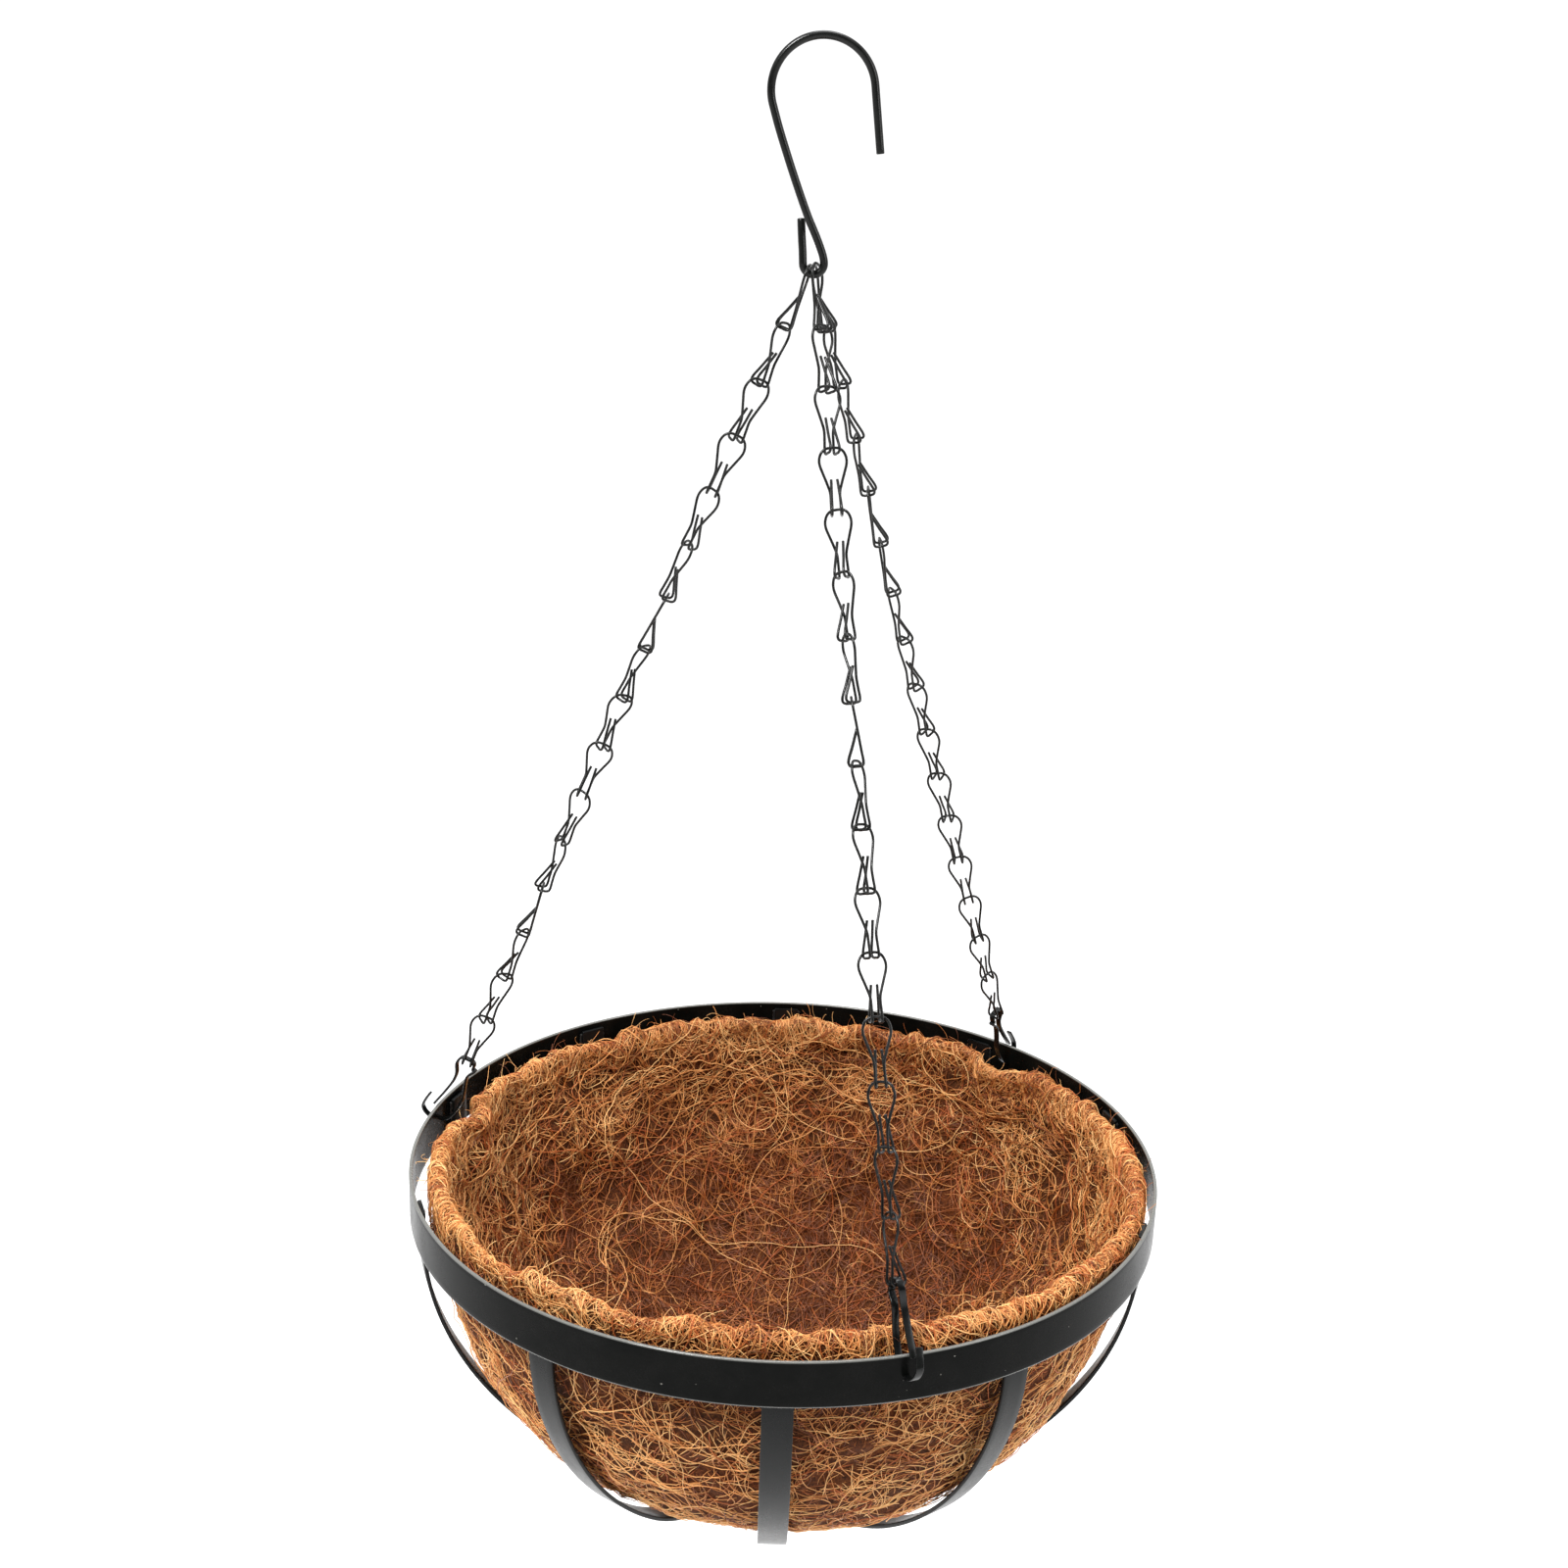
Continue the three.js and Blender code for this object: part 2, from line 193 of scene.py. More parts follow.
class Mat:
    def __init__(self, name, **kw):
        self.m = bpy.data.materials.new(name)
        self.m.use_nodes = True
        self.t = self.m.node_tree
        self.b = self.t.nodes["Principled BSDF"]
        for k, v in kw.items():
            self.b.inputs[k.replace("_", " ")].default_value = v
        self.coord = None

    def node(self, kind, **kw):
        n = self.t.nodes.new(kind)
        for k, v in kw.items():
            if k.startswith("i_"):
                n.inputs[k[2:].replace("_", " ")].default_value = v
            else:
                setattr(n, k, v)
        return n

    def link(self, a, b):
        self.t.links.new(a, b)

    def place(self):
        if self.coord is None:
            self.coord = self.node("ShaderNodeTexCoord").outputs["Object"]
        return self.coord

    def stretched(self, scale, rot=(0, 0, 0)):
        mp = self.node("ShaderNodeMapping")
        mp.inputs["Scale"].default_value = scale
        mp.inputs["Rotation"].default_value = rot
        self.link(self.place(), mp.inputs["Vector"])
        return mp.outputs["Vector"]

    def noise(self, scale, detail=3, rough=0.55, distort=0.0, vector=None):
        n = self.node("ShaderNodeTexNoise")
        n.inputs["Scale"].default_value = scale
        n.inputs["Detail"].default_value = detail
        n.inputs["Roughness"].default_value = rough
        n.inputs["Distortion"].default_value = distort
        self.link(vector or self.place(), n.inputs["Vector"])
        return n.outputs["Fac"]

    def ramp(self, fac, stops):
        r = self.node("ShaderNodeValToRGB")
        el = r.color_ramp.elements
        while len(el) < len(stops):
            el.new(0.5)
        for e, (pos, col) in zip(el, stops):
            e.position = pos
            e.color = col
        self.link(fac, r.inputs["Fac"])
        return r.outputs["Color"]

    def span(self, fac, lo, hi, frm=(0.3, 0.7)):
        r = self.node("ShaderNodeMapRange")
        r.inputs["From Min"].default_value, r.inputs["From Max"].default_value = frm
        r.inputs["To Min"].default_value, r.inputs["To Max"].default_value = lo, hi
        self.link(fac, r.inputs["Value"])
        return r.outputs["Result"]

    def math(self, op, a, b=None):
        n = self.node("ShaderNodeMath", operation=op)
        for k, x in enumerate((a, b)):
            if x is None:
                continue
            if isinstance(x, (int, float)):
                n.inputs[k].default_value = x
            else:
                self.link(x, n.inputs[k])
        return n.outputs[0]

    def mix(self, fac, a, b, mode="MIX"):
        n = self.node("ShaderNodeMix", data_type="RGBA", blend_type=mode)
        for sock, x in ((n.inputs[0], fac), (n.inputs[6], a), (n.inputs[7], b)):
            if isinstance(x, (int, float, tuple)):
                sock.default_value = x
            else:
                self.link(x, sock)
        return n.outputs[2]

    def bump(self, height, strength, distance, under=None):
        n = self.node("ShaderNodeBump")
        n.inputs["Strength"].default_value = strength
        n.inputs["Distance"].default_value = distance
        self.link(height, n.inputs["Height"])
        if under is not None:
            self.link(under, n.inputs["Normal"])
        return n.outputs["Normal"]

    def set(self, sock, x):
        self.link(x, self.b.inputs[sock])


def coated_steel(name, dark, pale, rough, spec, peel=0.12, chips=0.0, edges=None):
    """Black stoved coating: slightly uneven colour and gloss, fine orange peel, and rare worn specks; where edges are
    given, a painted highlight runs along them.
    """
    m = Mat(name, Metallic=0.0, Specular_IOR_Level=spec)
    cloud = m.noise(70, 4, 0.6)
    col = m.ramp(cloud, [(0.35, dark), (0.7, pale)])
    fine = m.noise(900, 2, 0.5)
    if chips:
        speck = m.noise(520, 1, 0.4)
        mask = m.span(speck, 0.0, 1.0, (0.79, 0.80))
        col = m.mix(mask, col, srgb(118, 116, 110))
    if edges:
        # thin, glossier edges at two heights, with a painted highlight: a pale grey mixed into the colour along them
        xyz = m.node("ShaderNodeSeparateXYZ")
        m.link(m.place(), xyz.inputs[0])
        h = xyz.outputs["Z"]
        top = m.span(h, 0.0, 1.0, (edges[0] * MM - 0.0007, edges[0] * MM - 0.0002))
        low = m.span(h, 1.0, 0.0, (edges[1] * MM + 0.0002, edges[1] * MM + 0.0007))
        rim = m.math("MAXIMUM", top, low)
        m.set("Specular IOR Level", m.math("MULTIPLY_ADD", rim, 0.9))
        m.b.inputs["Specular IOR Level"].links[0].from_node.inputs[2].default_value = spec
        # painted highlight: pale grey mixed into the black along the two edges
        col = m.mix(m.math("MULTIPLY", rim, 0.7), col, srgb(112, 112, 107))
    m.set("Base Color", col)
    gloss = m.math("ADD", m.span(cloud, rough - 0.05, rough + 0.05), m.span(fine, -0.03, 0.03))
    m.set("Roughness", gloss)
    if peel:
        m.set("Normal", m.bump(fine, peel, 0.00008))
    return m.m


hook_paint = coated_steel("hook_black", srgb(10, 11, 10), srgb(20, 21, 20), 0.24, 0.24, 0.03, 0)
chain_paint = coated_steel("chain_black", srgb(10, 11, 10), srgb(22, 22, 21), 0.24, 0.30, 0.0)
clip_paint = coated_steel("clip_black", srgb(8, 9, 9), srgb(18, 19, 18), 0.20, 0.30, 0.03, 0)
# the band's top and bottom edges get a painted highlight in their colour
band_paint = coated_steel("band_black", srgb(6, 7, 6), srgb(15, 15, 14), 0.25, 0.05, 0.05, 1, (RIM_TOP, RIM_TOP - BAND_H))
rib_paint = coated_steel("rib_grey_black", srgb(10, 11, 11), srgb(19, 20, 20), 0.30, 0.14, 0.06, 1)
weld_paint = coated_steel("weld_black", srgb(14, 14, 14), srgb(36, 35, 33), 0.42, 0.30, 0.3)


# ---- S-hook ----
def hook():
    cx, cz = LOOP_X, HOOK_WIRE / 2 - LOOP_R
    d = rad(7)
    sx, sz = cx + LOOP_R * math.cos(d), cz + LOOP_R * math.sin(d)
    straight = 22.8
    p = [(sx + k * straight * math.sin(d), 0, sz - k * straight * math.cos(d)) for k in (1, 0.7, 0.4, 0.15)]
    p += [(cx + LOOP_R * math.cos(rad(a)), 0, cz + LOOP_R * math.sin(rad(a))) for a in range(7, 200, 6)]
    p += [(-13.9, 0, -28.2), (-11.2, 0, -36), (-7.9, 0, -45), (-4.4, 0, -54), (-2.2, 0, -59.3), (0.3, 0, -64.6), (2.2, 0, -69), (3.4, 0, -72.4)]
    p += [(BEND_R * math.cos(rad(a)), 0, BEND_Z + BEND_R * math.sin(rad(a))) for a in np.arange(0, -181, -15.0)]
    p += [(-3.95, 0.5, -71), (-4.4, 1.5, -65.8), (-4.85, 2.6, -59.4)]
    v, q, n = sweep(spline(p, 4), circle(HOOK_WIRE / 2 - 0.05, 28), ends=0.3)
    ob = make("hook_wire", v, q, ngons=n, mats=[hook_paint])
    sharpen(ob, 50)
    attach(ob, "s_hook")
    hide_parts("s_hook")


hook()


# ---- chains and clips ----
def link_path():
    lean = lambda z: HOOK_Y * z / -BOTTOM_Z
    h = [TIP, (1.42, 0.8, -16.9), (LEG_X - 0.05, HOOK_Y - 0.05, BOTTOM_Z + 1.45), (LEG_X, HOOK_Y - 0.4, BOTTOM_Z + 0.42), (LEG_X, HOOK_Y - 1.35, BOTTOM_Z), (LEG_X, 0, BOTTOM_Z)]
    h += [(LEG_X, -HOOK_Y + 1.35, BOTTOM_Z), (LEG_X, -HOOK_Y + 0.4, BOTTOM_Z + 0.42), (LEG_X, lean(BOTTOM_Z + 1.5), BOTTOM_Z + 1.5), (LEG_X - 0.05, lean(-19.5), -19.5), (LEG_X, lean(WAIST_Z), WAIST_Z)]
    h += [(2.62, lean(-12.4), -12.4), (3.75, lean(-9.0), -9.0)]
    h += [(x, lean(z), z) for x, z in EYE]
    o = [(-x, y, z) for x, y, z in h][::-1]
    return spline(h + [(0, 0, 0)] + o, 5)


LINK = link_path()
holes = {}
for cname, (az, top, rolls) in CHAINS.items():
    a = rad(az)
    hole = np.array([(RIM_R - BAND_T / 2) * math.sin(a), -(RIM_R - BAND_T / 2) * math.cos(a), RIM_TOP - BAND_H / 2])
    holes[cname] = hole
    top = np.array(top)
    down = unit(hole - top)
    up = -down
    for i, roll in enumerate(rolls):
        w = np.array([math.cos(rad(roll)), math.sin(rad(roll)), 0.0])
        x = unit(w - up * np.dot(w, up))
        y = np.cross(up, x)
        at = top + down * PITCH * i
        P = at + LINK[:, 0:1] * x + LINK[:, 1:2] * y + LINK[:, 2:3] * up
        v, q, n = sweep(P, circle(WIRE_R, 12), ends=0.1)
        ob = make(f"{cname}_link_wire_{i + 1:02d}", v, q, ngons=n, mats=[chain_paint])
        sharpen(ob, 50)
        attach(ob, f"{cname}_link_{i + 1:02d}")
        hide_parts(f"{cname}_chain_link_{i + 1:02d}")
    # rim clip, in the upright plane through its hole: x along the band, y outwards, z up
    end = top + down * PITCH * 16 - hole
    out = np.array([math.sin(a), -math.cos(a), 0.0])
    back = np.array([-math.cos(a), -math.sin(a), 0.0])
    r0, z0 = np.dot(end, out), end[2]
    e = unit([np.dot(down, out), down[2]])
    X = np.array([-e[1], e[0]])

    def arch(x, drop, u):
        c = np.array([r0, z0]) + X * x + e * (drop - 0.15)
        return (u, c[0], c[1])

    path = [
        (-2.4, 2.3, 8.6), (-2.1, -3.3, 15.7), (-1.9, -6.4, 20.2), (-1.5, -7.7, 23.6),
        arch(ARCH_R, 3.6, -0.8), arch(ARCH_R - 0.25, 1.5, -0.5), arch(2.5, 0.3, -0.2), arch(0, 0, 0), arch(-2.5, 0.3, 0.2), arch(0.25 - ARCH_R, 1.5, 0.3), arch(-ARCH_R, 3.6, 0.4),
        (0.4, -15.2, 24.6), (0.3, -11.9, 21.9), (0.2, -11.0, 19.6), (0, -9.2, 10.2), (-0.2, -4.6, 2.9), (-0.4, -2.4, 1.15), (-0.6, 0, 0.75),
        (-0.9, 2.4, 1.0), (-1.6, 4.9, 2.2), (-2.4, 6.7, 4.6), (-2.9, 7.2, 7.1), (-3.2, 6.1, 9.8), (-3.5, 3.6, 13.6),
    ]
    L = spline(path, 8)
    P = hole + L[:, 0:1] * back + L[:, 1:2] * out + L[:, 2:3] * np.array([0, 0, 1.0])
    v, q, n = sweep(P, rounded_bar(CLIP_W, CLIP_T, 0.34, 4, 1), across=back, ends=0.2)
    ob = make(f"{cname}_clip_strip", v, q, ngons=n, mats=[clip_paint])
    sharpen(ob, 50)
    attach(ob, f"{cname}_clip")
    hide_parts(f"{cname}_rim_clip")


# ---- rim band ----
def wander(seed, count, lo, hi):
    """A smooth periodic offset round the rim, made of a few seeded waves."""
    g = np.random.default_rng(seed)
    k = g.integers(lo, hi, count)
    ph = g.uniform(0, 2 * np.pi, count)
    am = g.uniform(0.5, 1.0, count) / np.sqrt(count)
    return lambda t: sum(A * np.sin(K * t + p) for A, K, p in zip(am, k, ph))


def band():
    n = 432
    az = np.arange(n) * 2 * np.pi / n
    sec = rounded_bar(BAND_H, BAND_T, 0.42, 4, 7)
    out_r = wander(3, 5, 2, 9)(az) * 0.10
    R = RIM_R - BAND_T / 2 + out_r
    zc = RIM_TOP - BAND_H / 2
    V = np.zeros((n, len(sec), 3))
    V[..., 0] = (R[:, None] + sec[None, :, 1]) * np.sin(az)[:, None]
    V[..., 1] = -(R[:, None] + sec[None, :, 1]) * np.cos(az)[:, None]
    V[..., 2] = zc + sec[None, :, 0]
    m, s = n, len(sec)
    i, j = np.meshgrid(np.arange(m), np.arange(s), indexing="ij")
    a, b = i * s + j, i * s + (j + 1) % s
    c, d = ((i + 1) % m) * s + (j + 1) % s, ((i + 1) % m) * s + j
    ob = make("rim_hoop", V.reshape(-1, 3), np.stack([a, d, c, b], -1).reshape(-1, 4), mats=[band_paint])
    for cname, (azc, _, _) in CHAINS.items():
        k = 40
        t = np.arange(k) * 2 * np.pi / k
        pts = []
        for y in (-5.0, 5.0):
            for q in t:
                pts.append((HOLE_R * math.cos(q), y, HOLE_R * math.sin(q)))
        quads = [(u, (u + 1) % k, k + (u + 1) % k, k + u) for u in range(k)]
        drill = make("drill", pts, quads, ngons=[list(range(k))[::-1], [k + u for u in range(k)]], smooth=False)
        drill.matrix_world = Matrix.Translation(Vector(holes[cname]) * MM) @ Matrix.Rotation(rad(azc), 4, "Z")
        mod = ob.modifiers.new("hole", "BOOLEAN")
        mod.operation, mod.object, mod.solver = "DIFFERENCE", drill, "EXACT"
        bpy.context.view_layer.update()
        done = bpy.data.meshes.new_from_object(ob.evaluated_get(bpy.context.evaluated_depsgraph_get()))
        ob.modifiers.clear()
        ob.data = done
        bpy.data.objects.remove(drill)
    ob.data.materials.clear()
    ob.data.materials.append(band_paint)
    ob.data.polygons.foreach_set("use_smooth", np.ones(len(ob.data.polygons), bool))
    sharpen(ob, 40)
    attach(ob, "basket")
    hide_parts("rim_band")


band()


# ---- rib strips and their welds ----
def rib(k, a_deg, b_deg):
    A = np.array([RIB_R * math.sin(rad(a_deg)), -RIB_R * math.cos(rad(a_deg)), 0.0])
    B = np.array([RIB_R * math.sin(rad(b_deg)), -RIB_R * math.cos(rad(b_deg)), 0.0])
    mid, half = (A + B) / 2, np.linalg.norm(A - B) / 2
    depth = BOWL_D - RIB_T / 2 - BAND_H

    def step(s):
        x = min(1.0, max(0.0, (STEP_OUT - s) / (STEP_OUT - STEP_IN)))
        return LAYER * k * x * x * (3 - 2 * x)

    side = [(half, -2.5), (half, -6.0), (half, -10.0), (half, -14.0)]
    for deg in [0, 3.5, 7, 11, 15, 19, 23, 27.5, 32, 36.5, 41, 45.5, 50, 54.5, 59, 63.5, 68, 72, 76, 79.5, 83, 86.5, 90]:
        c = math.cos(rad(deg)) ** (2 / BOWL_N) if deg < 90 else 0.0
        d = math.sin(rad(deg)) ** (2 / BOWL_N)
        s = FLAT + (half - FLAT) * c
        side.append((s, -BAND_H - depth * d + step(s)))
    full = side + [(0.0, side[-1][1])] + [(-s, z) for s, z in side[::-1]]
    u = unit(B - A)
    P = np.array([mid - u * s + np.array([0, 0, RIM_TOP + z]) for s, z in full])
    across = unit(np.cross(u, [0, 0, 1.0]))
    v, q, n = sweep(spline(P, 3), rounded_bar(RIB_W, RIB_T, 0.3, 3, 3), across=across, ends=0.25)
    ob = make(f"rib_bar_{k + 1}", v, q, ngons=n, mats=[rib_paint])
    sharpen(ob, 40)
    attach(ob, "basket")
    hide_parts(f"rib_strip_{k + 1}")


for k, (a_deg, b_deg) in enumerate(RIBS):
    rib(k, a_deg, b_deg)


def welds():
    """Short uneven weld beads down both sides of each rib's end, inside the band."""
    g = np.random.default_rng(11)
    V, Q, N = [], [], []
    for ends in RIBS:
        for az in ends:
            for sgn in (-1, 1):
                a0 = rad(az)
                off = sgn * (RIB_W / 2 + 0.25)
                zs = np.linspace(-3.5, -14.5, 26)
                r = 147.95 + 0.1 * g.standard_normal(26)
                x = off + 0.15 * np.convolve(g.standard_normal(30), np.ones(5) / 5, "valid")
                ex, ey = np.array([math.cos(a0), math.sin(a0), 0]), np.array([math.sin(a0), -math.cos(a0), 0])
                P = x[:, None] * ex + r[:, None] * ey + (RIM_TOP + zs)[:, None] * np.array([0, 0, 1.0])
                size = 0.62 + 0.16 * np.sin(np.arange(26) * 1.25) * np.linspace(0.6, 1, 26) + 0.06 * g.standard_normal(26)
                size[0] = size[-1] = 0.25
                v, q, n = sweep(P, circle(1.0, 10), across=ex, ends=0)
                c = np.repeat(P, 10, axis=0)
                v = c + (v - c) * np.repeat(size, 10)[:, None]
                o = sum(len(z) for z in V)
                V.append(v)
                Q.append(q + o)
                N += [[t + o for t in f] for f in n]
    ob = make("weld_beads", np.vstack(V), np.vstack(Q), ngons=N, mats=[weld_paint])
    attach(ob, "basket")


welds()


# ---- coir liner ----
class Waves:
    """Smooth seeded noise in space: a sum of plane waves about one size."""

    def __init__(self, seed, size, count=36):
        g = np.random.default_rng(seed)
        d = unit(g.standard_normal((count, 3)))
        self.k = d * (2 * np.pi / size) * g.uniform(0.55, 1.5, (count, 1))
        self.ph = g.uniform(0, 2 * np.pi, count)
        self.a = math.sqrt(2 / count)

    def __call__(self, P):
        P = np.asarray(P, float)
        out = np.zeros(P.shape[:-1])
        for k, ph in zip(self.k, self.ph):
            out += np.sin(P @ k + ph)
        return out * self.a


DEPTH = BOWL_D - RIB_T - LAYER * (len(RIBS) - 1) - 0.5 + LINER_TOP


def profile():
    """The bowl's section from the outside bottom, up over the lip and down the inside: radius, height, arc length, outward normal."""
    def ell(R, D, deg):
        c = math.cos(rad(deg)) ** (2 / LINER_N) if deg < 89.999 else 0.0
        return (R * c, LINER_TOP - D * math.sin(rad(deg)) ** (2 / LINER_N))

    degs = np.concatenate([np.linspace(90, 60, 60), np.linspace(59.5, 6, 90), np.geomspace(5.5, 0.45, 24)])
    outer = [ell(LINER_R - 1.1, DEPTH - 1.1, d) for d in degs]
    inner = [ell(LINER_R - 6.6, DEPTH - 8.6, d) for d in degs]
    ro, ri = outer[-1], inner[-1]
    zc = min(ro[1], ri[1])
    rr = (ro[0] - ri[0]) / 2
    lip = [((ro[0] + ri[0]) / 2 + rr * math.cos(rad(a)), zc + rr * 0.95 * math.sin(rad(a))) for a in range(10, 180, 10)]
    pts = np.array(outer + lip + inner[::-1])
    seg = np.linalg.norm(np.diff(pts, axis=0), axis=1)
    keep = np.concatenate([[True], seg > 1e-6])
    pts = pts[keep]
    s = np.concatenate([[0], np.cumsum(np.linalg.norm(np.diff(pts, axis=0), axis=1))])
    S = np.arange(0, s[-1], 0.5)
    r = np.interp(S, s, pts[:, 0])
    z = np.interp(S, s, pts[:, 1])
    ker = np.hanning(13)
    ker /= ker.sum()
    sm = lambda x: np.convolve(np.pad(x, 6, mode="reflect", reflect_type="odd"), ker, "valid")
    r, z = np.maximum(sm(r), 0), sm(z)
    tr, tz = np.gradient(r, S), np.gradient(z, S)
    ln = np.hypot(tr, tz)
    return S, r, z, tz / ln, -tr / ln, tr / ln, zc + rr


PS, PR, PZ, PNR, PNZ, PDR, LIPZ = profile()
S_END = PS[-1]
S_LIP = PS[np.argmax(PZ)]
big, mid_, small, ragged, tone, swirl, press = Waves(1, 46), Waves(2, 17), Waves(4, 6.5), Waves(5, 9), Waves(6, 34), Waves(7, 26), Waves(8, 60)


def smoothstep(x):
    x = np.clip(x, 0, 1)
    return x * x * (3 - 2 * x)


def lip_rise(phi):
    """How far the lip stands above or below its mean height, by azimuth."""
    d = np.stack([141 * np.sin(phi), -141 * np.cos(phi), np.zeros_like(phi)], -1)
    rise = -3.2 + 4.6 * np.cos(phi) - 1.2 * np.cos(phi - 2.2) ** 2
    rise = rise + 1.6 * np.exp(-(((phi + 0.3 + np.pi) % (2 * np.pi) - np.pi) / 1.0) ** 2)
    for az, _, _ in CHAINS.values():
        off = np.abs((np.degrees(phi) - az + 540) % 360 - 180)
        rise = rise - 1.8 * (1 - smoothstep((off - 1.0) / 5.0))
    return rise + 0.6 * ragged(d) + 0.8 * mid_(d + 50)


def lean_out(phi):
    """How far the soft lip leans out against the band, by azimuth: most at the back and right, nothing at the left."""
    return 1.2 + 3.4 * smoothstep((1.0 - np.cos(phi - rad(-78))) / 1.5)


def dent(phi, z):
    out = np.zeros_like(phi)
    for az, _, _ in CHAINS.values():
        off = np.abs((np.degrees(phi) - az + 540) % 360 - 180)
        out = np.maximum(out, 1 - smoothstep((off - 1.5) / 4.0))
    return out * (4.4 * smoothstep((z + 42) / 24) + 2.4 * smoothstep((z + 9) / 9))


FOLDS = [  # azimuth, height at the middle, half length, half width, depth, lean: creases pressed into the inside
    (-164, -62, 17, 3.2, 3.2, 0.0),
    (176, -48, 20, 5.0, -1.6, 0.25),
    (158, -66, 26, 3.0, 1.8, -0.3),
    (-120, -70, 22, 4.0, 1.7, 0.4),
    (130, -58, 24, 3.6, 1.6, -0.2),
    (-20, -80, 26, 4.5, 2.0, 0.3),
]


def surface(s, phi, lift):
    """A point of the liner's skin, lifted along its normal, and that normal."""
    r, z = np.interp(s, PS, PR), np.interp(s, PS, PZ)
    nr, nz = np.interp(s, PS, PNR), np.interp(s, PS, PNZ)
    c, d = np.sin(phi), -np.cos(phi)
    base = np.stack([r * c, r * d, z], -1)
    inside = s > S_LIP
    near_lip = np.exp(-((s - S_LIP) / 9.0) ** 2)
    D = 1.0 * big(base) + 0.62 * mid_(base) + 0.3 * small(base)
    D = np.where(inside, D * 1.15, np.minimum(D, 0.9) * 0.7) * (1 - 0.6 * near_lip)
    arc = np.degrees(phi)
    for az, zm, hl, hw, dep, lean in FOLDS:
        off = ((arc - az + 540) % 360 - 180) * rad(1) * r - lean * (z - zm)
        g = np.exp(-(off / hw) ** 2) * np.exp(-((z - zm) / hl) ** 4)
        D = D - dep * g * inside
    low = smoothstep((-95 - z) / 40)
    D = D * (1 - 0.35 * low)
    h = D + lift
    rr = r + nr * h - dent(phi, z) * smoothstep(r / 60) + lean_out(phi) * smoothstep((z + 62) / 60)
    rr = np.minimum(rr, 145.6 + 0.9 * np.tanh((rr - 145.6) / 1.5))
    zz = z + nz * h + lip_rise(phi) * smoothstep((z + 46) / 46)
    N = unit(np.stack([nr * c, nr * d, nz], -1))
    return np.stack([rr * c, rr * d, zz + RIM_TOP], -1), N, base


def coir_shade(name, col, rough=0.48):
    m = Mat(name, Base_Color=col, Roughness=rough, Specular_IOR_Level=0.5)
    return m.m


SHADES = [
    srgb(250, 196, 128), srgb(236, 170, 102), srgb(216, 144, 78), srgb(192, 119, 58),
    srgb(162, 92, 42), srgb(118, 62, 27), srgb(186, 96, 41),
]
fibre_mats = [coir_shade(f"coir_fibre_{i + 1}", c) for i, c in enumerate(SHADES)]


def felt():
    m = Mat("coir_felt_and_gap_shade", Roughness=0.85, Specular_IOR_Level=0.15)
    a = m.noise(260, 4, 0.7, 2.2, m.stretched((1, 1, 4.5), (0.3, 0.2, 0.4)))
    b = m.noise(260, 4, 0.7, 2.2, m.stretched((4.5, 1, 1), (0.5, 0.9, 0.2)))
    c = m.noise(260, 4, 0.7, 2.2, m.stretched((1, 4.5, 1), (0.9, 0.1, 1.2)))
    f = m.math("MAXIMUM", m.math("MAXIMUM", a, b), c)
    tonev = m.noise(38, 3, 0.6)
    # partly painted shade: the ramps run from the mat's own coir browns down to near-black, and the darkest stops paint
    # the shade in the gaps between the fibres
    thin = m.ramp(f, [(0.47, srgb(38, 19, 9)), (0.60, srgb(88, 48, 22)), (0.74, srgb(158, 100, 52))])
    warm = m.ramp(f, [(0.47, srgb(46, 20, 9)), (0.60, srgb(104, 54, 25)), (0.74, srgb(172, 104, 55))])
    m.set("Base Color", m.mix(m.span(tonev, 0, 1, (0.4, 0.6)), thin, warm))
    m.set("Normal", m.bump(f, 0.8, 0.0012))
    return m.m


felt_and_gap_shade_mat = felt()


def shell():
    ns, nphi = ((220, 440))
    s = np.linspace(0.6, S_END - 0.6, ns)
    phi = np.arange(nphi) * 2 * np.pi / nphi
    Sg, Pg = np.meshgrid(s, phi, indexing="ij")
    V, _, _ = surface(Sg, Pg, -0.55)
    i, j = np.meshgrid(np.arange(ns - 1), np.arange(nphi), indexing="ij")
    a, b = i * nphi + j, i * nphi + (j + 1) % nphi
    quads = np.stack([a, b, b + nphi, a + nphi], -1).reshape(-1, 4)
    V = V.reshape(-1, 3)
    c0, c1 = V[:nphi].mean(0), V[-nphi:].mean(0)
    V = np.vstack([V, c0, c1])
    k0, k1 = len(V) - 2, len(V) - 1
    j = np.arange(nphi)
    t0 = np.stack([np.full(nphi, k0), (j + 1) % nphi, j], -1)
    o = (ns - 1) * nphi
    t1 = np.stack([np.full(nphi, k1), o + j, o + (j + 1) % nphi], -1)
    ob = make("coir_bowl", V, quads, np.vstack([t0, t1]), mats=[felt_and_gap_shade_mat])
    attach(ob, "liner")
    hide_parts("coir_liner")


shell()


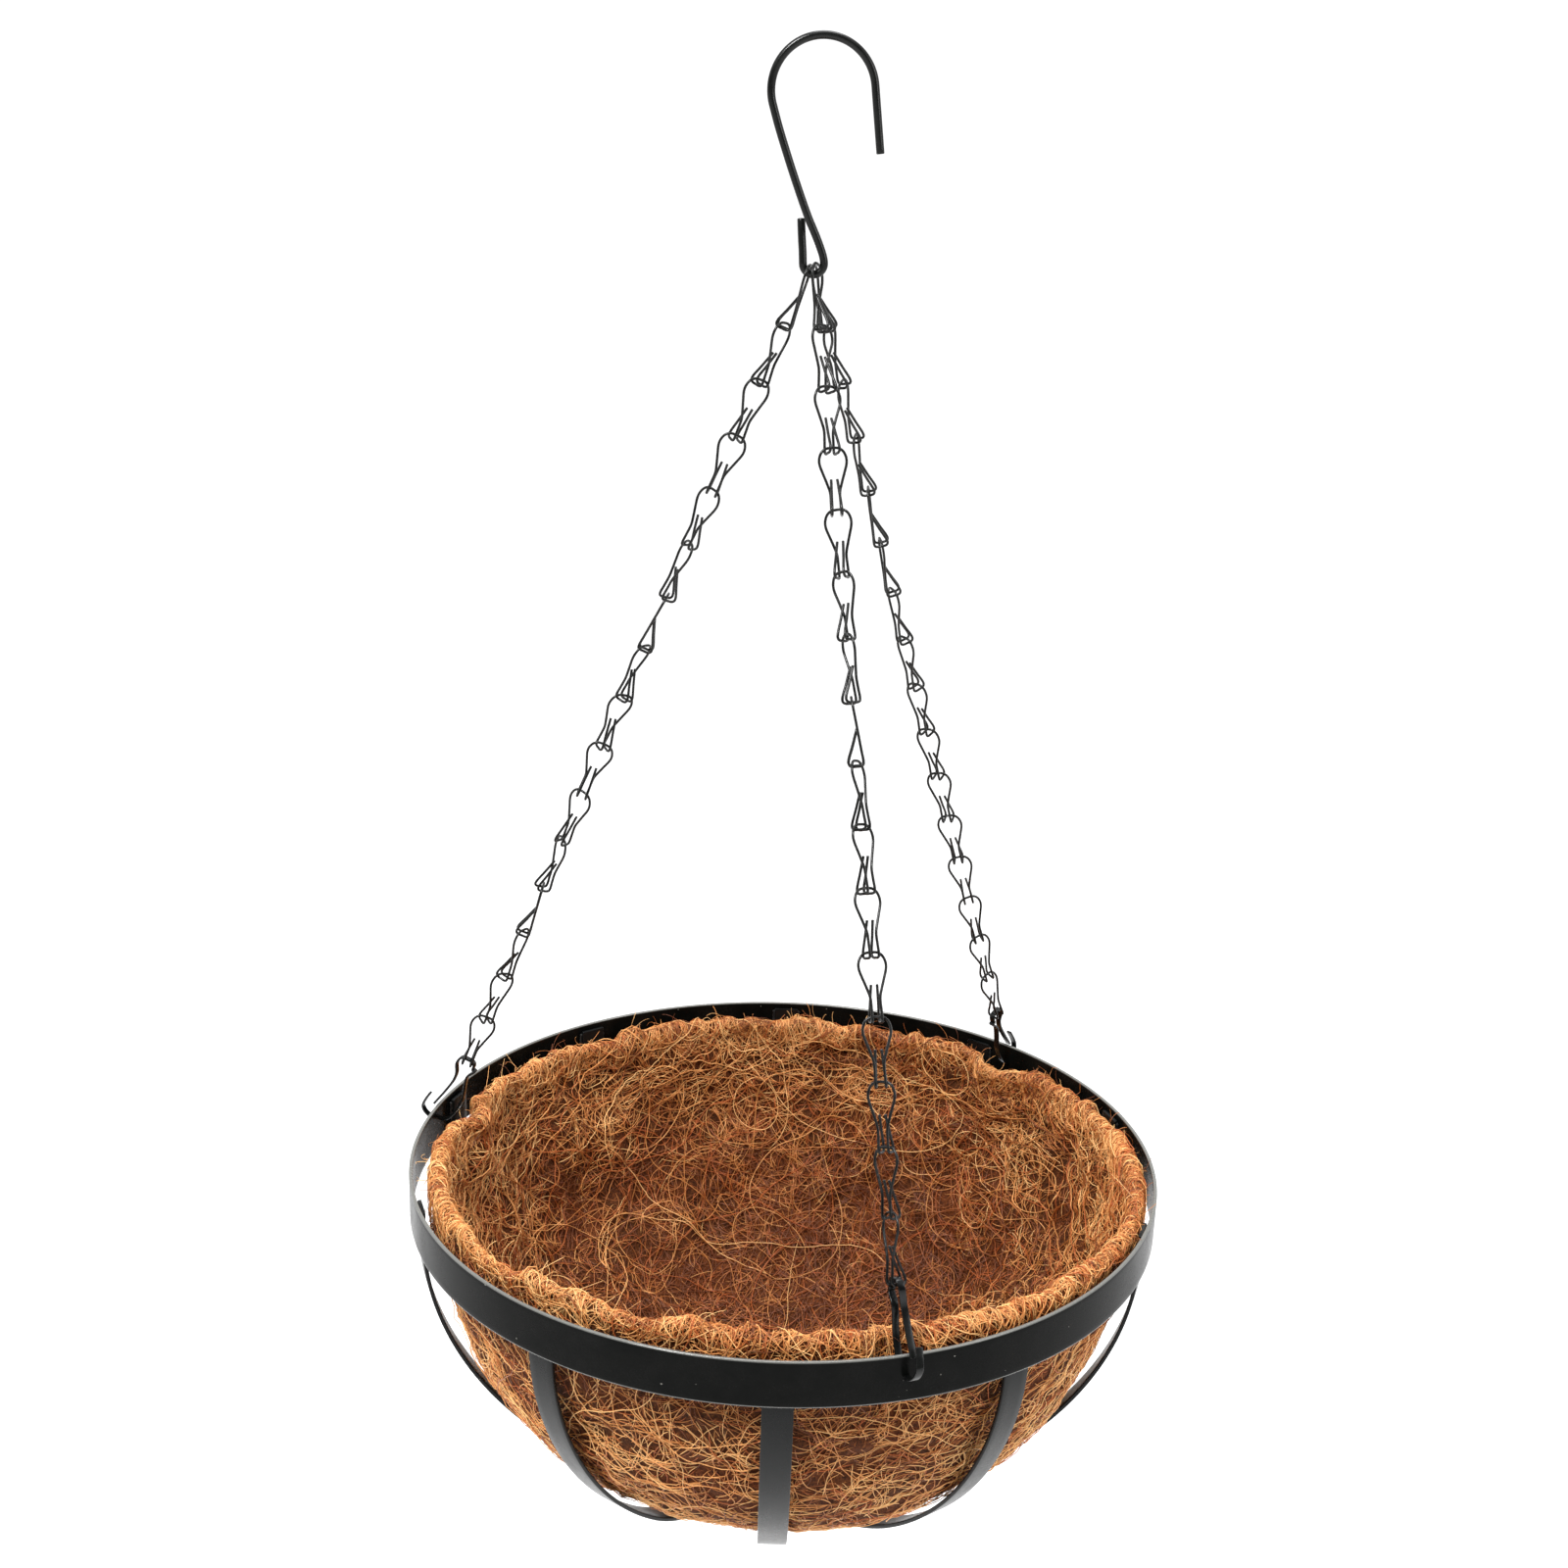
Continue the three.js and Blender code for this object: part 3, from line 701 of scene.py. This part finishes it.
def walk(g, n, points, length, bend, s0=None, phi0=None, a0=None):
    """Curling paths in the liner's skin: arc position, azimuth."""
    L = g.uniform(*length, n)
    step = L / (points - 1)
    # even cover of the whole skin, weighted by radius
    w = np.maximum(PR, 2.0)
    cdf = np.cumsum(w) / w.sum()
    s = np.interp(g.random(n), cdf, PS) if s0 is None else s0.copy()
    phi = g.uniform(-np.pi, np.pi, n) if phi0 is None else phi0.copy()
    base = np.stack([np.interp(s, PS, PR) * np.sin(phi), -np.interp(s, PS, PR) * np.cos(phi), np.interp(s, PS, PZ)], -1)
    al = swirl(base) * 2.4 + g.normal(0, 0.75, n) + np.pi * g.integers(0, 2, n) if a0 is None else a0.copy()
    k0 = g.normal(0, bend, n) * np.where(s > S_LIP, 1.0, 0.45)
    k = k0.copy()
    S, F = [s.copy()], [phi.copy()]
    for _ in range(points - 1):
        k = k0 + (k - k0) * np.exp(-step / 7) + g.normal(0, bend * 1.15, n) * np.sqrt(step / 7)
        r = np.maximum(np.interp(s, PS, PR), 5.0)
        dr = np.interp(s, PS, PDR)
        al = al + k * step - dr * np.sin(al) / r * step
        s = s + np.cos(al) * step
        phi = phi + np.sin(al) * step / r
        flip = (s < 2) | (s > S_END - 2)
        al = np.where(flip, np.pi - al, al)
        s = np.clip(s, 2, S_END - 2)
        S.append(s.copy())
        F.append(phi.copy())
    return np.stack(S, 1), np.stack(F, 1), L


def tubes(P, N, rad_, sides=3):
    """Thin closed tubes along rows of points."""
    n, m, _ = P.shape
    T = unit(np.gradient(P, axis=1))
    B = unit(np.cross(T, N))
    M = np.cross(B, T)
    taper = np.ones(m)
    taper[0] = taper[-1] = 0.45
    a = np.pi / 2 + np.arange(sides) * 2 * np.pi / sides
    off = (B[:, :, None, :] * np.cos(a)[None, None, :, None] + M[:, :, None, :] * np.sin(a)[None, None, :, None]) * (rad_[:, None] * taper[None])[:, :, None, None]
    V = (P[:, :, None, :] + off).reshape(n, m * sides, 3)
    i, j = np.meshgrid(np.arange(m - 1), np.arange(sides), indexing="ij")
    q = np.stack([i * sides + j, i * sides + (j + 1) % sides, (i + 1) * sides + (j + 1) % sides, (i + 1) * sides + j], -1).reshape(-1, 4)
    t = np.array([[2, 1, 0], [(m - 1) * sides, (m - 1) * sides + 1, (m - 1) * sides + 2]])
    return V, q, t


def shade_of(g, base, n, inside=None):
    """Which shade each fibre takes: bright and dull patches, a few reddish ones, and, when inside is given, painted
    light and shade by place.
    """
    v = 0.7 * tone(base) + g.normal(0, 1.35, n)
    if inside is not None:
        z = base[:, 2]
        # painted light and shade: outside fibres are made lighter, inside fibres lighter near the lip and darker
        # towards the bottom of the bowl
        v = v + np.where(inside, 0.66 - 2.25 * smoothstep((-26 - z) / 82), 1.0)
    idx = np.digitize(-v, [-2.15, -1.15, -0.35, 0.5, 1.3])
    red = (g.random(n) < 0.13 + 0.09 * np.clip(-tone(base + 31), 0, 1.5))
    return np.where(red & (idx > 1), 6, idx)


def inner_start(g, n, share):
    """Start positions, that share of them inside the bowl."""
    w = np.maximum(PR, 2.0) * np.where(PS > S_LIP, share, 1 - share)
    cdf = np.cumsum(w) / w.sum()
    return np.interp(g.random(n), cdf, PS)


def fibres():
    g = np.random.default_rng(77)
    groups = []  # (V, q, t, shade, azimuth)
    share = 1.0

    def lay(n, points, length, bend, dia, low, arc, **kw):
        n = int(n * share)
        kw = {k: (v[:n] if v is not None else None) for k, v in kw.items()}
        S, F, L = walk(g, n, points, length, bend, **kw)
        u = np.linspace(0, 1, points)[None]
        h0 = g.uniform(low[0], low[1], (n, 1))
        amp = g.uniform(arc[0], arc[1], (n, 1)) * (L / 30)[:, None] ** 0.5
        wob = 0.16 * np.sin(u * (L[:, None] / 3.1) + g.uniform(0, 6.28, (n, 1)))
        lift = h0 + amp * np.sin(np.pi * u) + wob
        P, N, base = surface(S, F, lift)
        rr = g.uniform(dia[0], dia[1], n) / 2
        V, q, t = tubes(P, N, rr)
        groups.append((V, q, t, shade_of(g, base[:, points // 2], n, S[:, points // 2] > S_LIP), F[:, points // 2]))

    lay(8200, 10, (8, 18), 0.085, (0.26, 0.38), (-0.75, -0.15), (0.0, 0.4))
    lay(11000, 12, (10, 24), 0.085, (0.24, 0.38), (-0.45, 0.3), (0.1, 0.8))
    lay(3600, 22, (24, 52), 0.07, (0.28, 0.44), (-0.35, 0.35), (0.1, 0.9), s0=inner_start(g, 3600, 0.7))
    lay(640, 44, (60, 125), 0.035, (0.32, 0.50), (0.1, 0.6), (0.2, 1.0), s0=inner_start(g, 640, 0.88))
    # over the lip, from one face to the other
    n = 4200
    s0 = S_LIP - g.uniform(-4, 11, n)
    lay(n, 14, (9, 22), 0.07, (0.24, 0.40), (-0.4, 0.45), (0.2, 1.3), s0=s0, phi0=g.uniform(-np.pi, np.pi, n), a0=g.normal(0, 0.55, n))
    # loose hairs: they leave the skin and curl away
    n = int(1500 * share)
    points = 11
    near_lip = g.random(n) < 0.42
    w = np.maximum(PR, 2.0)
    cdf = np.cumsum(w) / w.sum()
    s = np.where(near_lip, S_LIP + g.normal(0, 4.5, n), np.interp(g.random(n), cdf, PS))
    outside = s < S_LIP - 10
    phi = g.uniform(-np.pi, np.pi, n)
    P0, N0, base = surface(s, phi, -0.3)
    L = g.uniform(4, 15, n) * np.where(outside, 0.35, 1.0)
    t1 = unit(np.cross(N0, g.standard_normal((n, 3))))
    d = unit(N0 * g.uniform(0.25, 1.0, (n, 1)) + t1)
    ax = unit(g.standard_normal((n, 3)))
    k = g.uniform(0.03, 0.22, n) * g.choice([-1, 1], n)
    P = [P0]
    for _ in range(points - 1):
        st = (L / (points - 1))[:, None]
        d = unit(d + np.cross(ax, d) * k[:, None] * st - N0 * 0.055 * st)
        P.append(P[-1] + d * st)
    P = np.stack(P, 1)
    r = np.hypot(P[..., 0], P[..., 1])
    by_band = (P[..., 2] < RIM_TOP + 1.5) & (P[..., 2] > RIM_TOP - BAND_H - 1.5)
    k = np.where(by_band & (r > 147.2), 147.2 / r, 1.0)
    P[..., 0] *= k
    P[..., 1] *= k
    V, q, t = tubes(P, np.repeat(ax[:, None], points, 1), g.uniform(0.14, 0.26, n) / 2)
    groups.append((V, q, t, np.clip(shade_of(g, base, n) - 1, 0, 6), phi))

    # split by sector, so that each piece stays light
    tot = sum(V.shape[0] * (2 * len(q) + 2) for V, q, t, _, _ in groups)
    parts = max(1, math.ceil(tot / 175000))
    for part in range(parts):
        lo = -np.pi + 2 * np.pi * part / parts
        hi = lo + 2 * np.pi / parts
        VV, QQ, TT, QM, TM, o = [], [], [], [], [], 0
        for V, q, t, sh, az in groups:
            a = (az + np.pi) % (2 * np.pi) - np.pi
            pick = (a >= lo) & (a < hi)
            v = V[pick]
            if not len(v):
                continue
            m = v.shape[1]
            off = (o + np.arange(len(v)) * m)[:, None, None]
            QQ.append((q[None] + off).reshape(-1, 4))
            TT.append((t[None] + off).reshape(-1, 3))
            QM.append(np.repeat(sh[pick], len(q)))
            TM.append(np.repeat(sh[pick], len(t)))
            VV.append(v.reshape(-1, 3))
            o += len(v) * m
        ob = make(f"coir_fibres_{part + 1:02d}", np.vstack(VV), np.vstack(QQ), np.vstack(TT), mats=fibre_mats, qmat=np.concatenate(QM), tmat=np.concatenate(TM))
        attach(ob, "liner")
    print("fibre triangles", tot, "pieces", parts)


fibres()


# ---- stage, light and camera ----
def stage():
    m = Mat("floor_white", Roughness=0.9, Specular_IOR_Level=0.1, Emission_Color=(1, 1, 1, 1), Emission_Strength=0.2)
    m.set("Base Color", m.ramp(m.noise(1.2, 2), [(0.3, (0.93, 0.93, 0.93, 1)), (0.7, (0.95, 0.95, 0.95, 1))]))
    n, rings = 96, [0.0001, 2, 6, 14, 40, 120]
    V, Q = [], []
    for r in rings:
        for k in range(n):
            a = 2 * math.pi * k / n
            V.append((r * 1000 * math.cos(a), r * 1000 * math.sin(a), -1150.0))
    for i in range(len(rings) - 1):
        for k in range(n):
            Q.append((i * n + k, (i + 1) * n + k, (i + 1) * n + (k + 1) % n, i * n + (k + 1) % n))
    ob = make("stage_floor", V, Q, mats=[m.m])


stage()


def area(name, loc, aim, size, power, colour=(1, 1, 1)):
    l = bpy.data.lights.new(name, "AREA")
    l.shape = "RECTANGLE"
    l.size, l.size_y = size
    l.energy = power
    l.color = colour
    o = bpy.data.objects.new(name, l)
    o.location = loc
    o.rotation_euler = (Vector(aim) - Vector(loc)).to_track_quat("-Z", "Y").to_euler()
    scene.collection.objects.link(o)


area("key_softbox", (-0.75, -1.0, 1.15), (0, 0, -0.45), (0.45, 0.45), 42)
area("fill_softbox", (1.5, -0.9, 0.5), (0, 0, -0.45), (0.5, 0.9), 12)
area("top_softbox", (0.1, 0.4, 1.5), (0, 0, -0.45), (0.9, 0.9), 20)

world = bpy.data.worlds.new("studio")
scene.world = world
world.use_nodes = True
wt = world.node_tree
where = wt.nodes.new("ShaderNodeTexCoord")
split = wt.nodes.new("ShaderNodeSeparateXYZ")
wt.links.new(where.outputs["Generated"], split.inputs[0])


def wmath(op, a, b):
    n = wt.nodes.new("ShaderNodeMath")
    n.operation = op
    for k, x in enumerate((a, b)):
        if isinstance(x, (int, float)):
            n.inputs[k].default_value = x
        else:
            wt.links.new(x, n.inputs[k])
    return n.outputs[0]


lift = wmath("ABSOLUTE", split.outputs["Z"], 0.0)
ahead = wmath("SUBTRACT", wmath("MULTIPLY", split.outputs["Y"], -1.0), wmath("MULTIPLY", lift, 0.75))
shade = wt.nodes.new("ShaderNodeMapRange")
shade.interpolation_type = "SMOOTHSTEP"
shade.inputs["From Min"].default_value = -0.35
shade.inputs["From Max"].default_value = 0.45
shade.inputs["To Min"].default_value = 1.12
shade.inputs["To Max"].default_value = 0.10
wt.links.new(ahead, shade.inputs["Value"])
seen = wt.nodes.new("ShaderNodeLightPath").outputs["Is Camera Ray"]
plain_sky = wmath("MULTIPLY", seen, wmath("SUBTRACT", 1.12, shade.outputs["Result"]))
wt.links.new(wmath("ADD", shade.outputs["Result"], plain_sky), wt.nodes["Background"].inputs["Color"])
wt.nodes["Background"].inputs["Strength"].default_value = 1.0
scene.view_settings.view_transform = "Standard"

f_px, D, elev, tx, tz, roll = 2017.8, 758.6, 17.26, -4.56, -268.10, 1.826
fwd = Vector((0, math.cos(rad(elev)), -math.sin(rad(elev))))
right = Vector((1, 0, 0))
upv = right.cross(fwd)
c, s = math.cos(rad(roll)), math.sin(rad(roll))
r2, u2 = c * right + s * upv, -s * right + c * upv
pos = (Vector((tx, 0, tz)) - D * fwd) * MM
cam = bpy.data.cameras.new("camera")
cam.sensor_width = 36
cam.lens = f_px / 1600 * 36
cam.clip_start = 0.01
co = bpy.data.objects.new("camera", cam)
co.matrix_world = Matrix((
    (r2.x, u2.x, -fwd.x, pos.x),
    (r2.y, u2.y, -fwd.y, pos.y),
    (r2.z, u2.z, -fwd.z, pos.z),
    (0, 0, 0, 1),
))
scene.collection.objects.link(co)
scene.camera = co
